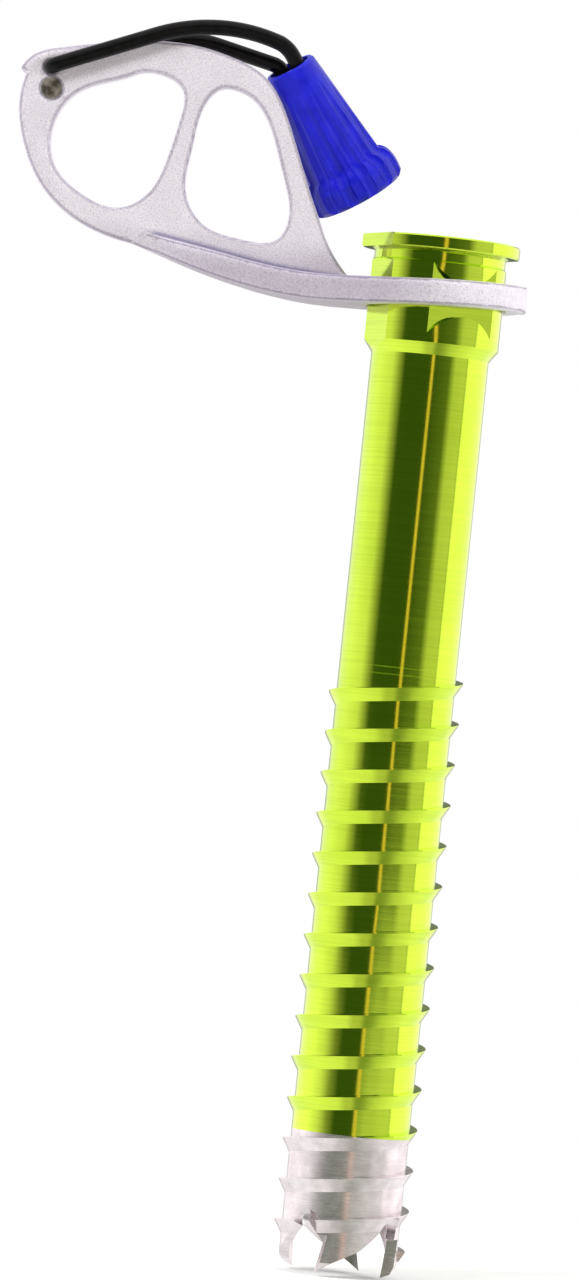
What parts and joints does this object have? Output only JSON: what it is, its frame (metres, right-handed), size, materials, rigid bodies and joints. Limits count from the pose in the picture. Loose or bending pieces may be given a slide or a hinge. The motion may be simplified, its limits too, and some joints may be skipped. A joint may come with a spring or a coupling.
{
  "type": "ice screw",
  "caption": "Tubular ice screw: anodised aluminium tube with right-hand thread, steel toothed tip, clip hanger and folding wire crank with a spinning cone knob.",
  "frame": {"origin": "on the screw's axis at the level of the hanger's underside, where the ice surface is when the screw is driven home", "axes": "+Z along the screw's axis, out of the ice; -X towards the hanger's clip plate; -Y towards the side seen in the picture"},
  "size_m": [0.0817, 0.0304, 0.1903],
  "materials": {
    "lime_anodised": "turned and polished, lime green anodised",
    "tip_steel": "turned stainless steel",
    "hanger_aluminium": "forged, tumbled and sandblasted",
    "wire_steel": "drawn wire",
    "sleeve_plastic": "black, satin",
    "pivot_steel": "headed over, mottled",
    "core_plastic": "black, moulded",
    "knob_plastic": "deep blue, satin moulded",
    "cap_plastic": "deep blue, satin moulded"
  },
  "bodies": {
    "screw": {"screw_tube": "lime_anodised", "cutting_tip": "tip_steel", "hanger": "hanger_aluminium", "crank_pivot_ends": "pivot_steel"},
    "crank": {"crank_wire": "wire_steel", "front_wire_sleeve": "sleeve_plastic", "rear_wire_sleeve": "sleeve_plastic", "knob_core": "core_plastic"},
    "knob": {"knob_shell": "knob_plastic", "knob_cap": "cap_plastic"}
  },
  "joints": [
    {"name": "crank_fold", "type": "hinge", "parent": "screw", "child": "crank", "pos_m": [-0.06251, 0, 0.02984], "axis": [0, -1, 0], "range_deg": [0, 148]},
    {"name": "knob_spin", "type": "hinge", "parent": "crank", "child": "knob", "pos_m": [-0.02622, 0.0035, 0.03567], "axis": [0.5565, 0.2419, -0.7948], "continuous": true}
  ]
}
